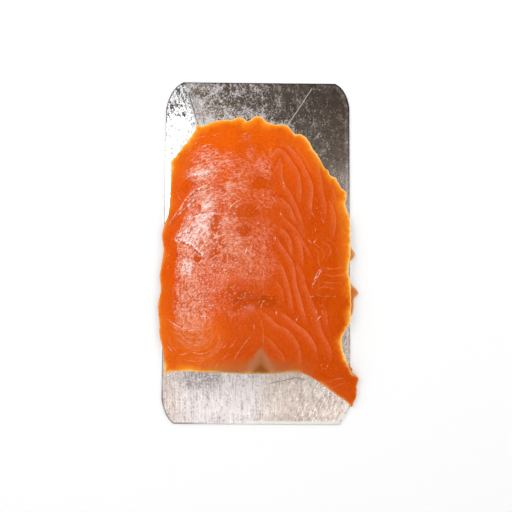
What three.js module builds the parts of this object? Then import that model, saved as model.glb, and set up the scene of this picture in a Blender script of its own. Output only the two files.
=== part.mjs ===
// Cold-smoked steelhead trout: long thin slices, laid back in the shape of the fillet
// on the foil-faced card that they are packed and lifted with.
// Millimetres, +Z up. The origin is the middle of the card's underside, +X runs to the
// belly side and +Y to the head end of the fillet.

import * as THREE from 'three';

const { clamp, lerp, smoothstep, seededRandom } = THREE.MathUtils;

// The card
const CARD_WIDTH = 140;
const CARD_LENGTH = 258;
const CARD_THICKNESS = 1;
const CORNER_STEPS = 7;
// Each corner is cut off over so much of the end and of the side; round is how far
// the cut bows out towards the full corner, 0 for a straight cut.
const CARD_CORNERS = {
  tailBelly: { end: 8, side: 14, round: 0.06 },
  headBelly: { end: 11, side: 19, round: 0.6 },
  headBack: { end: 13, side: 21, round: 0.55 },
  tailBack: { end: 9, side: 18, round: 0.5 },
};

// The slices
const SLICE_THICKNESS = 2.3;
const RIM_THICKNESS = 1;
const RIM_WIDTH = 4;
const TAPER_WIDTH = 9;
const REST_GAP = 0.3;
const LAYER_GAP = 0.6;
// A slice that lies over another starts to rise this far outside the rim under it,
// and lies level again this far inside that rim.
const DRAPE_OUTSIDE = 12;
const DRAPE_INSIDE = 8;
const HIP_ROUNDING = 7;

// Lengths that turn the sheet coordinates u and v, from 0 to 1, into millimetres
const SHEET_WIDTH = 140;
const SHEET_LENGTH = 190;

// How far the hidden rims lie inside the rim of the top slice
const MIDDLE_INSET = { back: 9, belly: 5, tail: 14, head: 12 };
const BOTTOM_INSET = { back: 13, belly: 10, tail: 22, head: 20 };
const HIDDEN_CORNER_ROUNDING = 16;
// Where the middle slice comes out from under the top one on the belly side:
// the place along the sheet, half its length there, and how far it comes out.
const MIDDLE_PEEKS = [
  { v: 0.19, spread: 0.022, reach: 7 },
  { v: 0.48, spread: 0.1, reach: 7.2 },
  { v: 0.545, spread: 0.03, reach: 10 },
  { v: 0.72, spread: 0.045, reach: 7.6 },
];

// The top slice spans such a gap smoothly, so its lift reaches on past each place.
const PEEK_SPAN = 0.05;

// Mesh fineness
const TOP_CELLS = 40;
const RIM_POINTS_PER_CELL = 3;
const HIDDEN_RIM_POINTS = 38;
const HIDDEN_ROWS = 26;
const SHOULDER_STEPS = [0, 3.5, 7, 11, 15, 20, 27];
const MIDDLE_STEPS = 4;
const SMOOTHING_REACH = 8;

// The outline of the top slice, side by side, from the tail end's back corner.
const TAIL_SIDE = [
  [-67.5, -94.6], [-65.4, -91.6], [-47.5, -90.9], [-20, -91.8], [-6, -92.2], [13, -92],
  [29.5, -90.9], [36.7, -92.6], [43.9, -96.2], [52.4, -102.1], [61.1, -108.3],
  [68.8, -113.8], [70.9, -116.6],
];
const BELLY_SIDE = [
  [70.9, -116.6], [73.4, -110.7], [75.1, -104.7], [74.7, -101.2], [76.2, -95.7],
  [73, -92.1], [71.1, -91.9], [69.4, -87.5], [65.4, -77.7], [63.9, -71.5], [63.9, -65.2],
  [66, -60], [69.7, -53.8], [70.4, -46], [69.9, -22], [68.6, -16.9], [70.2, -4],
  [70, 8], [69.9, 24.5], [66.2, 37.2], [67.6, 39.2], [67.5, 43.8],
];
const HEAD_SIDE = [
  [67.5, 43.8], [66.4, 46], [64.2, 46.7], [61.2, 52], [59.3, 55.9], [54.8, 57.4],
  [53.4, 61.9], [50.6, 63.6], [48.3, 69], [41.2, 79.6], [38.9, 84.3], [31.6, 89.9],
  [29.4, 88.6], [24.5, 93.6], [20.8, 96.9], [14.4, 96.4], [5.8, 99.2], [3.3, 102.2],
  [-2.5, 103.2], [-7.3, 99.2], [-13.6, 102.4], [-17.4, 101.2], [-28.2, 99.6],
  [-34.7, 98.5], [-44, 94.5], [-46.5, 96.1], [-48.1, 91.2], [-52.4, 84.6], [-59, 75.4],
  [-66.1, 67],
];
const BACK_SIDE = [
  [-66.1, 67], [-65.6, 57.5], [-65.9, 45], [-67, 28], [-70.4, 17], [-71.5, 10.4],
  [-70.3, 1], [-71.4, -10.8], [-72.8, -20], [-71.6, -29.3], [-73.7, -42.3],
  [-72.1, -58], [-72.4, -62.2], [-69.6, -74.6], [-68.6, -84], [-67.5, -94.6],
];
// The knife tears the thin edges a little: how deep, on each side
const RAGGED = { tail: 0.12, belly: 0.45, head: 0.55, back: 0.2 };
const HIDDEN_RAGGED = 0.9;

// Relief of the top slice: creases are pressed in and ridges stand up along a line.
// Height and half width in millimetres, with the line's points.
const RELIEF_LINES = [
  // The lateral line, where the two halves of the fillet meet
  { height: -0.5, spread: 3.4, line: [[10, 79], [10, 57], [0.5, 32], [-4, -8], [-2, -30]] },
  { height: -0.45, spread: 3, line: [[4, -51], [5.5, -63], [4, -75], [3, -90]] },
  // The sagging arch of torn flakes at its middle
  { height: -0.9, spread: 3, line: [[-14, -42], [0, -38], [13, -46], [31, -53]] },
  { height: 0.5, spread: 3, line: [[-16, -36], [0, -31], [15, -39]] },
  // The open slit on the belly side, between its two lips
  { height: -1, spread: 2.2, line: [[48, -13], [43, -20], [41, -27]] },
  { height: 0.45, spread: 2.2, line: [[52, -17], [47.5, -23], [46, -28]] },
  // Flake edges of the belly side
  { height: -0.45, spread: 2.6, line: [[14, 70], [24, 62], [31, 45], [31, 30]] },
  { height: -0.45, spread: 2.6, line: [[23, 77], [36, 60], [42, 42], [43, 22]] },
  { height: -0.55, spread: 3, line: [[14, 27], [27, 17], [37, 3], [41, -10]] },
  { height: 0.4, spread: 3.4, line: [[18, 17], [27, 8], [33, -5], [35, -14]] },
  { height: -0.4, spread: 2.6, line: [[14, 6], [26, -12], [32, -28], [38, -48], [43, -70]] },
  { height: -0.4, spread: 2.6, line: [[4, -46], [24, -60], [34, -72], [36, -86]] },
  { height: -0.4, spread: 2.6, line: [[35, -12], [44, -38], [52, -62], [57, -82]] },
  // Swirl and cross lines by the belly rim
  { height: 0.4, spread: 2.8, line: [[46, 12], [54, 7], [57, -2], [51, -8]] },
  { height: -0.35, spread: 2.4, line: [[49, -33], [58, -29], [66, -30]] },
  // Folds and ridges of the back side
  { height: 0.6, spread: 2.6, line: [[-64, 23], [-58, 30], [-50, 40], [-41, 45]] },
  { height: -0.5, spread: 2.6, line: [[-63, 18], [-56, 26], [-47, 36], [-39, 41]] },
  { height: 0.5, spread: 2.6, line: [[-54, 58], [-36, 58]] },
  { height: -0.5, spread: 2.8, line: [[-62, 7], [-50, 5], [-40, 1]] },
  { height: 0.4, spread: 3, line: [[-61, 12], [-49, 10], [-39, 6]] },
  // Rings of flakes at the back side's tail corner
  { height: -0.4, spread: 2.6, line: [[-65, -53], [-56, -64], [-43, -71], [-29, -64]] },
  { height: -0.4, spread: 2.6, line: [[-63, -67], [-53, -76], [-40, -79], [-22, -70], [-9, -58]] },
  { height: -0.35, spread: 2.6, line: [[-36, -84], [-25, -78], [-12, -64]] },
];
// Shallow waves all over, as thin flesh settles
const WAVE_HEIGHT = 0.22;
const WAVE_LENGTHS = [31, 47, 23];
// The fillet is a little fuller towards its middle.
const CROWN = { height: 0.9, halfWidth: 74, halfLength: 104 };

const SEED = 41;

const FLESH = { color: '#d9580f', roughness: 0.32, metalness: 0 };
const HIDDEN_FLESH = { color: '#c64a0c', roughness: 0.35, metalness: 0 };
const FOIL = { color: '#b5aaa2', roughness: 0.3, metalness: 0.9 };

// Where the cut of one corner starts on the end, ends on the side, and what it bows towards
function cardCorner(cut, signX, signY) {
  const corner = new THREE.Vector2(signX * CARD_WIDTH / 2, signY * CARD_LENGTH / 2);
  const onEnd = new THREE.Vector2(corner.x - signX * cut.end, corner.y);
  const onSide = new THREE.Vector2(corner.x, corner.y - signY * cut.side);
  const towards = onEnd.clone().add(onSide).multiplyScalar(0.5).lerp(corner, cut.round);
  return { onEnd, onSide, towards };
}

// The card is one flat board with its four corners cut.
function cardGeometry() {
  const tailBelly = cardCorner(CARD_CORNERS.tailBelly, 1, -1);
  const headBelly = cardCorner(CARD_CORNERS.headBelly, 1, 1);
  const headBack = cardCorner(CARD_CORNERS.headBack, -1, 1);
  const tailBack = cardCorner(CARD_CORNERS.tailBack, -1, -1);
  const shape = new THREE.Shape();
  const curveTo = (towards, end) => shape.quadraticCurveTo(towards.x, towards.y, end.x, end.y);
  const lineTo = (end) => shape.lineTo(end.x, end.y);
  shape.moveTo(tailBelly.onEnd.x, tailBelly.onEnd.y);
  curveTo(tailBelly.towards, tailBelly.onSide);
  lineTo(headBelly.onSide);
  curveTo(headBelly.towards, headBelly.onEnd);
  lineTo(headBack.onEnd);
  curveTo(headBack.towards, headBack.onSide);
  lineTo(tailBack.onSide);
  curveTo(tailBack.towards, tailBack.onEnd);
  shape.closePath();
  return new THREE.ExtrudeGeometry(shape, {
    depth: CARD_THICKNESS,
    bevelEnabled: false,
    curveSegments: CORNER_STEPS,
  });
}

// One side of the outline: even points along its curve, and the same run smoothed,
// which the inside of the sheet follows.
function sideRun(points, ragged) {
  const vectors = points.map(([x, y]) => new THREE.Vector3(x, y, 0));
  const curve = new THREE.CatmullRomCurve3(vectors, false, 'centripetal');
  const count = TOP_CELLS * RIM_POINTS_PER_CELL;
  const even = curve.getSpacedPoints(count);
  const torn = even.map((point, i) => {
    if (i === 0 || i === count) return point.clone();
    const along = even[i + 1].clone().sub(even[i - 1]).normalize();
    const depth = ragged * (2 * seededRandom() - 1);
    return new THREE.Vector3(point.x - along.y * depth, point.y + along.x * depth, 0);
  });
  const smoothed = even.map((point, i) => {
    const reach = Math.min(SMOOTHING_REACH, i, count - i);
    const sum = new THREE.Vector3();
    for (let k = -reach; k <= reach; k++) sum.add(even[i + k]);
    return sum.divideScalar(2 * reach + 1);
  });
  return { torn, smoothed };
}

seededRandom(SEED);
const SIDES = {
  tail: sideRun(TAIL_SIDE, RAGGED.tail),
  belly: sideRun(BELLY_SIDE, RAGGED.belly),
  head: sideRun([...HEAD_SIDE].reverse(), RAGGED.head),
  back: sideRun([...BACK_SIDE].reverse(), RAGGED.back),
};

function alongRun(run, t) {
  const position = clamp(t, 0, 1) * (run.length - 1);
  const index = Math.min(Math.floor(position), run.length - 2);
  return run[index].clone().lerp(run[index + 1], position - index);
}

// The sheet: u runs from the back side to the belly side, v from the tail to the head.
// Inside, each point blends the four smoothed sides; outside, the sheet goes straight on.
function sheetPoint(u, v) {
  const s = clamp(u, 0, 1);
  const t = clamp(v, 0, 1);
  const { tail, belly, head, back } = SIDES;
  const lengthwise = alongRun(tail.smoothed, s).lerp(alongRun(head.smoothed, s), t);
  const crosswise = alongRun(back.smoothed, t).lerp(alongRun(belly.smoothed, t), s);
  const lowCorners = tail.smoothed[0].clone().lerp(tail.smoothed.at(-1), s);
  const highCorners = head.smoothed[0].clone().lerp(head.smoothed.at(-1), s);
  const point = lengthwise.add(crosswise).sub(lowCorners.lerp(highCorners, t));
  point.x += (u - s) * SHEET_WIDTH;
  point.y += (v - t) * SHEET_LENGTH;
  return point;
}

// Borders of a slice on the sheet: u of its two sides, and v of its two ends as
// functions of u. Where it comes out from under the next slice, its belly side is
// a function of v.
const topBorder = { from: 0, to: 1, belly: () => 1, tail: () => 0, head: () => 1 };

function hiddenBorder(inset, peeks = [], span = 0) {
  const from = inset.back / SHEET_WIDTH;
  const to = 1 - inset.belly / SHEET_WIDTH;
  const corner = (u) => {
    const offMiddle = clamp((2 * u - from - to) / (to - from), -1, 1);
    return (HIDDEN_CORNER_ROUNDING * offMiddle ** 6) / SHEET_LENGTH;
  };
  const comesOut = (v) => peeks.reduce(
    (most, p) => Math.max(most, p.reach * Math.exp(-(((v - p.v) / (p.spread + span)) ** 2))), 0);
  return {
    from,
    to,
    belly: (v) => to + comesOut(v) / SHEET_WIDTH,
    tail: (u) => inset.tail / SHEET_LENGTH + corner(u),
    head: (u) => 1 - inset.head / SHEET_LENGTH - corner(u),
  };
}

const middleBorder = hiddenBorder(MIDDLE_INSET, MIDDLE_PEEKS);
const middleLiftBorder = hiddenBorder(MIDDLE_INSET, MIDDLE_PEEKS, PEEK_SPAN);
const bottomBorder = hiddenBorder(BOTTOM_INSET);

// Least of two lengths, with the corner between them rounded
function softMin(a, b) {
  const near = Math.max(HIP_ROUNDING - Math.abs(a - b), 0) / HIP_ROUNDING;
  return Math.min(a, b) - (near * near * HIP_ROUNDING) / 4;
}

// How far a point of the sheet lies inside a border; negative outside
function insideBy(border, u, v) {
  const across = softMin((u - border.from) * SHEET_WIDTH, (border.belly(v) - u) * SHEET_WIDTH);
  const along = softMin((v - border.tail(u)) * SHEET_LENGTH, (border.head(u) - v) * SHEET_LENGTH);
  return softMin(across, along);
}

function thicknessOf(border, u, v) {
  const full = smoothstep(insideBy(border, u, v), 0, TAPER_WIDTH);
  return lerp(RIM_THICKNESS, SLICE_THICKNESS, full);
}

// What a slice adds to the height of the slice that lies over it
function liftOver(border, u, v) {
  const over = smoothstep(insideBy(border, u, v), -DRAPE_OUTSIDE, DRAPE_INSIDE);
  return (SLICE_THICKNESS + LAYER_GAP) * over;
}

const bottomUnder = () => CARD_THICKNESS + REST_GAP;
const middleUnder = (u, v) => bottomUnder() + liftOver(bottomBorder, u, v);
const topUnder = (u, v) => middleUnder(u, v) + liftOver(middleLiftBorder, u, v);

function distanceToLine(x, y, line) {
  let nearest = Infinity;
  for (let i = 0; i < line.length - 1; i++) {
    const [ax, ay] = line[i];
    const [bx, by] = line[i + 1];
    const along = ((x - ax) * (bx - ax) + (y - ay) * (by - ay)) / ((bx - ax) ** 2 + (by - ay) ** 2);
    const t = clamp(along, 0, 1);
    nearest = Math.min(nearest, Math.hypot(x - lerp(ax, bx, t), y - lerp(ay, by, t)));
  }
  return nearest;
}

function relief(x, y) {
  const lines = RELIEF_LINES.reduce((sum, { height, spread, line }) =>
    sum + height * Math.exp(-((distanceToLine(x, y, line) / spread) ** 2)), 0);
  const [first, second, third] = WAVE_LENGTHS.map((length) => (2 * Math.PI) / length);
  const waves = Math.sin(x * first + y * third) * Math.sin(y * second - x * third);
  const fullness = Math.max(0, 1 - (x / CROWN.halfWidth) ** 2)
    * Math.max(0, 1 - (y / CROWN.halfLength) ** 2);
  return lines + WAVE_HEIGHT * waves + CROWN.height * fullness;
}

// A closed body between an upper and a lower face. Each face is a grid that keeps
// RIM_WIDTH clear of the rim, joined to it by a strip.
class SliceMesh {
  constructor() {
    this.positions = [];
    this.indices = [];
  }

  addPoint(x, y, z) {
    this.positions.push(x, y, z);
    return this.positions.length / 3 - 1;
  }

  addTriangle(a, b, c, up) {
    if (up) this.indices.push(a, b, c);
    else this.indices.push(a, c, b);
  }

  // The grid's border comes back as a ring that runs round once, at 0 to 4.
  addGrid(columns, rows, place, up) {
    const grid = rows.map((t) => columns.map((s) => this.addPoint(...place(s, t))));
    for (let j = 0; j < rows.length - 1; j++) {
      for (let i = 0; i < columns.length - 1; i++) {
        const [a, b] = [grid[j][i], grid[j][i + 1]];
        const [d, c] = [grid[j + 1][i], grid[j + 1][i + 1]];
        this.addTriangle(a, b, c, up);
        this.addTriangle(a, c, d, up);
      }
    }
    const ring = [];
    const share = (list, value) => (value - list[0]) / (list.at(-1) - list[0]);
    columns.slice(0, -1).forEach((s, i) => ring.push({ at: share(columns, s), id: grid[0][i] }));
    rows.slice(0, -1).forEach((t, j) => ring.push({ at: 1 + share(rows, t), id: grid[j].at(-1) }));
    columns.slice(1).reverse().forEach((s, i) =>
      ring.push({ at: 3 - share(columns, s), id: grid.at(-1)[columns.length - 1 - i] }));
    rows.slice(1).reverse().forEach((t, j) =>
      ring.push({ at: 4 - share(rows, t), id: grid[rows.length - 1 - j][0] }));
    return ring;
  }

  // Joins an outer and an inner ring by a strip of triangles
  stitch(outer, inner, up) {
    const place = (ring, i) => (i < ring.length ? ring[i].at : ring[i - ring.length].at + 4);
    const id = (ring, i) => ring[i % ring.length].id;
    let i = 0;
    let j = 0;
    while (i < outer.length || j < inner.length) {
      const outerFirst = place(outer, i) + place(outer, i + 1) <= place(inner, j) + place(inner, j + 1);
      if (j === inner.length || (i < outer.length && outerFirst)) {
        this.addTriangle(id(outer, i), id(outer, i + 1), id(inner, j), up);
        i += 1;
      } else {
        this.addTriangle(id(outer, i), id(inner, j + 1), id(inner, j), up);
        j += 1;
      }
    }
  }

  addWall(upper, lower) {
    for (let i = 0; i < upper.length; i++) {
      const next = (i + 1) % upper.length;
      this.addTriangle(lower[i].id, lower[next].id, upper[next].id, true);
      this.addTriangle(lower[i].id, upper[next].id, upper[i].id, true);
    }
  }

  toGeometry() {
    const geometry = new THREE.BufferGeometry();
    geometry.setAttribute('position', new THREE.Float32BufferAttribute(this.positions, 3));
    geometry.setIndex(this.indices);
    geometry.computeVertexNormals();
    return geometry;
  }
}

// Places round the border, from 0 to 4, as the slice's own coordinates from 0 to 1
function borderPlace(at) {
  if (at < 1) return [at, 0];
  if (at < 2) return [1, at - 1];
  if (at < 3) return [3 - at, 1];
  return [0, 4 - at];
}

// A slice's own coordinates, from 0 to 1 across and along it, as places on the sheet
function toSheet(border, s, t) {
  const plain = lerp(border.from, border.to, s);
  const v = lerp(border.tail(plain), border.head(plain), t);
  return [lerp(border.from, border.belly(v), s), v];
}

// Grid lines close together in the shoulders and wide apart in the level middle
function shoulderLines(length) {
  const near = SHOULDER_STEPS.map((step) => (RIM_WIDTH + step) / length);
  const first = near.at(-1);
  const middle = Array.from({ length: MIDDLE_STEPS - 1 }, (_, i) =>
    lerp(first, 1 - first, (i + 1) / MIDDLE_STEPS));
  return [...near, ...middle, ...near.map((value) => 1 - value).reverse()];
}

function evenLines(length, cells) {
  const first = RIM_WIDTH / length;
  return Array.from({ length: cells + 1 }, (_, i) => lerp(first, 1 - first, i / cells));
}

const hiddenColumns = shoulderLines(SHEET_WIDTH);
const hiddenRows = evenLines(SHEET_LENGTH, HIDDEN_ROWS);

function sliceGeometry({ border, under, rim, lift, columns, rows }) {
  const mesh = new SliceMesh();
  const upperPlace = (s, t) => {
    const [u, v] = toSheet(border, s, t);
    const { x, y } = sheetPoint(u, v);
    return [x, y, under(u, v) + thicknessOf(border, u, v) + lift(x, y)];
  };
  const lowerPlace = (s, t) => {
    const [u, v] = toSheet(border, s, t);
    const { x, y } = sheetPoint(u, v);
    return [x, y, under(u, v)];
  };
  const upperRim = rim.map(({ at, u, v, x, y }) => ({
    at, id: mesh.addPoint(x, y, under(u, v) + RIM_THICKNESS),
  }));
  const lowerRim = rim.map(({ at, u, v, x, y }) => ({ at, id: mesh.addPoint(x, y, under(u, v)) }));
  const upperRing = mesh.addGrid(columns, rows, upperPlace, true);
  const lowerRing = mesh.addGrid(hiddenColumns, hiddenRows, lowerPlace, false);
  mesh.stitch(upperRim, upperRing, true);
  mesh.stitch(lowerRim, lowerRing, false);
  mesh.addWall(upperRim, lowerRim);
  return mesh.toGeometry();
}

function topSliceGeometry() {
  const { tail, belly, head, back } = SIDES;
  const runs = [tail.torn, belly.torn, [...head.torn].reverse(), [...back.torn].reverse()];
  const rim = runs.flatMap((run, side) => run.slice(0, -1).map(({ x, y }, i) => {
    const at = side + i / (run.length - 1);
    const [u, v] = borderPlace(at);
    return { at, u, v, x, y };
  }));
  return sliceGeometry({
    border: topBorder,
    under: topUnder,
    rim,
    lift: relief,
    columns: evenLines(SHEET_WIDTH, TOP_CELLS),
    rows: evenLines(SHEET_LENGTH, TOP_CELLS),
  });
}

function hiddenSliceGeometry(border, under) {
  const rim = Array.from({ length: 4 * HIDDEN_RIM_POINTS }, (_, i) => {
    const at = i / HIDDEN_RIM_POINTS;
    const [u, v] = toSheet(border, ...borderPlace(at));
    const { x, y } = sheetPoint(u, v);
    const torn = () => HIDDEN_RAGGED * (seededRandom() - 0.5);
    return { at, u, v, x: x + torn(), y: y + torn() };
  });
  return sliceGeometry({
    border,
    under,
    rim,
    lift: () => 0,
    columns: hiddenColumns,
    rows: hiddenRows,
  });
}

function namedMesh(name, geometry, finish) {
  const mesh = new THREE.Mesh(geometry, new THREE.MeshStandardMaterial(finish));
  mesh.name = name;
  return mesh;
}

const trout = new THREE.Group();
trout.name = 'smoked_trout';
trout.add(
  namedMesh('card', cardGeometry(), FOIL),
  namedMesh('bottom_slice', hiddenSliceGeometry(bottomBorder, bottomUnder), HIDDEN_FLESH),
  namedMesh('middle_slice', hiddenSliceGeometry(middleBorder, middleUnder), HIDDEN_FLESH),
  namedMesh('top_slice', topSliceGeometry(), FLESH),
);

export default trout;
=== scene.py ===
import math

import bpy
import numpy as np
from mathutils import Euler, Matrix, Vector, kdtree, noise


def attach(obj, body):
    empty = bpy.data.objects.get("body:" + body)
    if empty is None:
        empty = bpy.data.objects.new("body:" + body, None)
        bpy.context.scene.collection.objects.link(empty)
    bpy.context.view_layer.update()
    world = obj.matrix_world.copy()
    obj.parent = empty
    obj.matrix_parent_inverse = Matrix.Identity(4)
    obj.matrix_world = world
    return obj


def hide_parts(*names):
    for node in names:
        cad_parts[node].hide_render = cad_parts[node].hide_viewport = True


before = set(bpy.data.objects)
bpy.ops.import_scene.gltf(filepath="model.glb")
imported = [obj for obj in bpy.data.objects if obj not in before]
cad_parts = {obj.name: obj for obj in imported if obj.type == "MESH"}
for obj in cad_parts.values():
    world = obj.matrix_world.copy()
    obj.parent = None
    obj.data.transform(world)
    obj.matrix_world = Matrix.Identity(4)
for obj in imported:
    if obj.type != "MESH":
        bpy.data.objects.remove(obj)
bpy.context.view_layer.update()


# The table, the light and the camera.
# A plain white table top carries the pack. Four soft boxes hang over its back, head, tail and
# belly side, with a lamp at each side. The walls of the room are pale under a dark ceiling.
bpy.ops.object.select_all(action="DESELECT")
bpy.ops.mesh.primitive_plane_add(size=8, location=(0, 0, -0.0003))
table_top = bpy.context.object
table_top.name = "table_top"
bpy.ops.object.transform_apply(location=True, rotation=False, scale=False)


def new_finish(name):
    finish = bpy.data.materials.new(name)
    finish.use_nodes = True
    return finish, finish.node_tree.nodes["Principled BSDF"]


table_white, shader = new_finish("table_white")
shader.inputs["Base Color"].default_value = (0.94, 0.94, 0.94, 1)
shader.inputs["Roughness"].default_value = 0.6
shader.inputs["Specular IOR Level"].default_value = 0.2
table_top.data.materials.append(table_white)


def soft_box(name, centre, size, radiance):
    """A rectangular light that shines straight down until it is turned."""
    lamp = bpy.data.lights.new(name, "AREA")
    lamp.shape = "RECTANGLE"
    lamp.size, lamp.size_y = size
    lamp.energy = radiance * size[0] * size[1] * math.pi
    box = bpy.data.objects.new(name, lamp)
    box.location = centre
    bpy.context.scene.collection.objects.link(box)
    return box


soft_box("back_side_box", (-0.105, 0.120, 1.0), (0.12, 0.25), 9)
soft_box("head_box", (-0.36, 0.30, 1.0), (0.46, 0.12), 4.0)
soft_box("tail_box", (0.0, -0.41, 1.0), (1.1, 0.54), 1.15)
soft_box("belly_box", (0.35, 0.05, 1.0), (0.36, 0.50), 0.8)
for side, across, radiance in (("back", -0.9, 3.2), ("belly", 0.9, 2.4)):
    side_light = soft_box(side + "_side_light", (across, 0.4, 0.8), (0.7, 0.7), radiance)
    side_light.rotation_euler = (-side_light.location).to_track_quat("-Z", "Y").to_euler()
    side_light.visible_glossy = False


class Field:
    """What nodes work out at each point: a place, a colour or a number for ordinary sums."""

    def __init__(self, socket):
        self.socket = socket

    def __add__(self, other):
        return sum_up("ADD", self, other)

    def __sub__(self, other):
        return sum_up("SUBTRACT", self, other)

    def __rsub__(self, other):
        return sum_up("SUBTRACT", other, self)

    def __mul__(self, other):
        return sum_up("MULTIPLY", self, other)

    def __abs__(self):
        return sum_up("ABSOLUTE", self)

    __radd__, __rmul__ = __add__, __mul__

    def clipped(self):
        """Keeps the number between 0 and 1."""
        self.socket.node.use_clamp = True
        return self


def feed(socket, value):
    """Gives a socket a plain value, or links it to a field or to another socket."""
    value = getattr(value, "socket", value)
    if isinstance(value, bpy.types.NodeSocket):
        socket.id_data.links.new(value, socket)
    elif socket.type == "RGBA":
        socket.default_value = (*value, 1)
    else:
        socket.default_value = value


def node_in(home, kind, inputs=None, **settings):
    """Adds a node to a finish, or to the tree of a field, and feeds the sockets in inputs."""
    tree = home.socket.id_data if isinstance(home, Field) else home.node_tree
    made = tree.nodes.new("ShaderNode" + kind)
    for name, value in settings.items():
        setattr(made, name, value)
    for socket, value in (inputs or {}).items():
        feed(made.inputs[socket], value)
    return made


def first_field(values):
    return next(value for value in values if isinstance(value, Field))


def sum_up(operation, *values):
    made = node_in(first_field(values), "Math", dict(enumerate(values)), operation=operation)
    return Field(made.outputs[0])


def most(first, second):
    return sum_up("MAXIMUM", first, second)


def blend(share, first, second, mode="MIX"):
    made = node_in(first_field((share, first, second)), "Mix", {0: share, 6: first, 7: second},
                   data_type="RGBA", blend_type=mode)
    return Field(made.outputs[2])


def ramp_of(value, *stops):
    """A colour for each value, by stops of which the lowest and the highest are named first."""
    made = node_in(value, "ValToRGB", {"Fac": value})
    for i, (position, colour) in enumerate(stops):
        stop = made.color_ramp.elements[i] if i < 2 else made.color_ramp.elements.new(position)
        stop.position, stop.color = position, (*colour, 1)
    return Field(made.outputs["Color"])


def coordinates(where):
    """The x, y and z of a place."""
    return [Field(socket) for socket in node_in(where, "SeparateXYZ", {0: where}).outputs]


room = bpy.data.worlds.new("room")
bpy.context.scene.world = room
room.use_nodes = True
height = coordinates(Field(node_in(room, "TexCoord").outputs["Generated"]))[2]
walls = ramp_of(height, (0.55, (0.95, 0.95, 0.95)), (0.8, (0.10, 0.10, 0.10)))
gloss_walls = ramp_of(height, (0.25, (0.6, 0.6, 0.6)), (0.45, (0.10, 0.095, 0.09)))
ray = Field(node_in(room, "LightPath").outputs["Is Glossy Ray"])
feed(room.node_tree.nodes["Background"].inputs["Color"], blend(ray, walls, gloss_walls))

bpy.ops.object.camera_add(location=(-0.00933, -0.07016, 0.69362))
camera = bpy.context.object
camera.rotation_euler = Euler((math.radians(5.442), math.radians(-0.75), math.radians(0.39)), "XYZ")
camera.data.sensor_width = 36
camera.data.lens = 65.07
camera.data.clip_start = 0.01
bpy.context.scene.camera = camera
bpy.context.scene.view_settings.view_transform = "Standard"


# The foil card.
# Stiff paper board a millimetre thick, its top faced with silver foil that shows the fibres of
# the board. It is punched out with cut corners, which rolls the foil over the edge.
def choose(piece):
    """Makes one piece the only selected one, and the active one."""
    bpy.ops.object.select_all(action="DESELECT")
    piece.select_set(True)
    bpy.context.view_layer.objects.active = piece


def edit(piece, whole=True):
    """Opens one piece alone in edit mode, with all or none of it selected."""
    choose(piece)
    bpy.ops.object.mode_set(mode="EDIT")
    bpy.ops.mesh.select_all(action="SELECT" if whole else "DESELECT")


def leave_edit():
    bpy.ops.mesh.select_all(action="DESELECT")
    bpy.ops.object.mode_set(mode="OBJECT")


def pick(piece, kind, wanted):
    """Selects the faces or edges of a piece for which wanted is true."""
    bpy.ops.object.mode_set(mode="OBJECT")
    for part in getattr(piece.data, kind):
        part.select = wanted(part)
    bpy.ops.object.mode_set(mode="EDIT")


def copy_of(node, name):
    """A merged copy of one solid's mesh, without its finish."""
    piece = bpy.data.objects.new(name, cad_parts[node].data.copy())
    bpy.context.scene.collection.objects.link(piece)
    piece.data.name = name
    piece.data.materials.clear()
    edit(piece)
    bpy.ops.mesh.customdata_custom_splitnormals_clear()
    bpy.ops.mesh.remove_doubles(threshold=0.00001)
    leave_edit()
    return piece


def vertices_of(piece, kind="co"):
    """The place of each vertex in a row of its own, or with kind "normal" where it faces."""
    places = np.empty(len(piece.data.vertices) * 3)
    piece.data.vertices.foreach_get(kind, places)
    return places.reshape(-1, 3)


def set_vertices(piece, places):
    piece.data.vertices.foreach_set("co", places.ravel())
    piece.data.update()


def mark(piece, name, values):
    """Stores one number for each vertex, for the finish to read."""
    layer = piece.data.attributes.new(name, "FLOAT", "POINT")
    layer.data.foreach_set("value", np.asarray(values, np.float32))


def swell(at, across, along, seed):
    """A smooth random number at each place, for waves and dents."""
    return np.array([noise.noise(Vector((x * across, y * along, seed))) for x, y, _ in at])


def nearest_in(targets, at):
    """For each place: the number of the nearest target seen from above, and how far it is."""
    tree = kdtree.KDTree(len(targets))
    for i, target in enumerate(targets):
        tree.insert((target[0], target[1], 0), i)
    tree.balance()
    found = [tree.find((x, y, 0)) for x, y, _ in at]
    return [i for _, i, far in found], np.array([far for _, i, far in found])


foil_card = copy_of("card", "foil_card")
card = foil_card.data


def runs_level(edge):
    first, second = (card.vertices[i].co.z for i in edge.vertices)
    return abs(first - second) < 1e-5


def is_top(face):
    return face.normal.z > 0.999


edit(foil_card)
bpy.ops.mesh.dissolve_limited(angle_limit=math.radians(1))
bpy.ops.mesh.select_mode(type="EDGE")
pick(foil_card, "edges", runs_level)
bpy.ops.mesh.bevel(offset=0.0003, segments=2)
bpy.ops.mesh.select_mode(type="FACE")
pick(foil_card, "polygons", is_top)
for ring in (0.0004, 0.0008, 0.0016, 0.003):
    bpy.ops.mesh.inset(thickness=ring)
dent_grid = 0.004
for direction, count in (((1, 0, 0), 17), ((0, 1, 0), 32)):
    for i in range(-count, count + 1):
        pick(foil_card, "polygons", is_top)
        bpy.ops.mesh.bisect(plane_co=[i * dent_grid * part for part in direction], plane_no=direction)
leave_edit()

card_thickness, half_width, half_length, dent_depth = 0.001, 0.070, 0.129, 0.00012
at = vertices_of(foil_card)
top = at[:, 2] > card_thickness - 0.00002
from_side = np.minimum(half_width - abs(at[:, 0]), half_length - abs(at[:, 1]))
dents = swell(at, 22, 14, 3.0) + 0.6 * swell(at, 60, 40, 9.0)
at[top, 2] -= (dent_depth * np.clip(dents + 0.6, 0, 2) * np.clip(from_side / 0.006, 0, 1))[top]
set_vertices(foil_card, at)
choose(foil_card)
bpy.ops.object.shade_smooth_by_angle(angle=math.radians(40))

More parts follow.
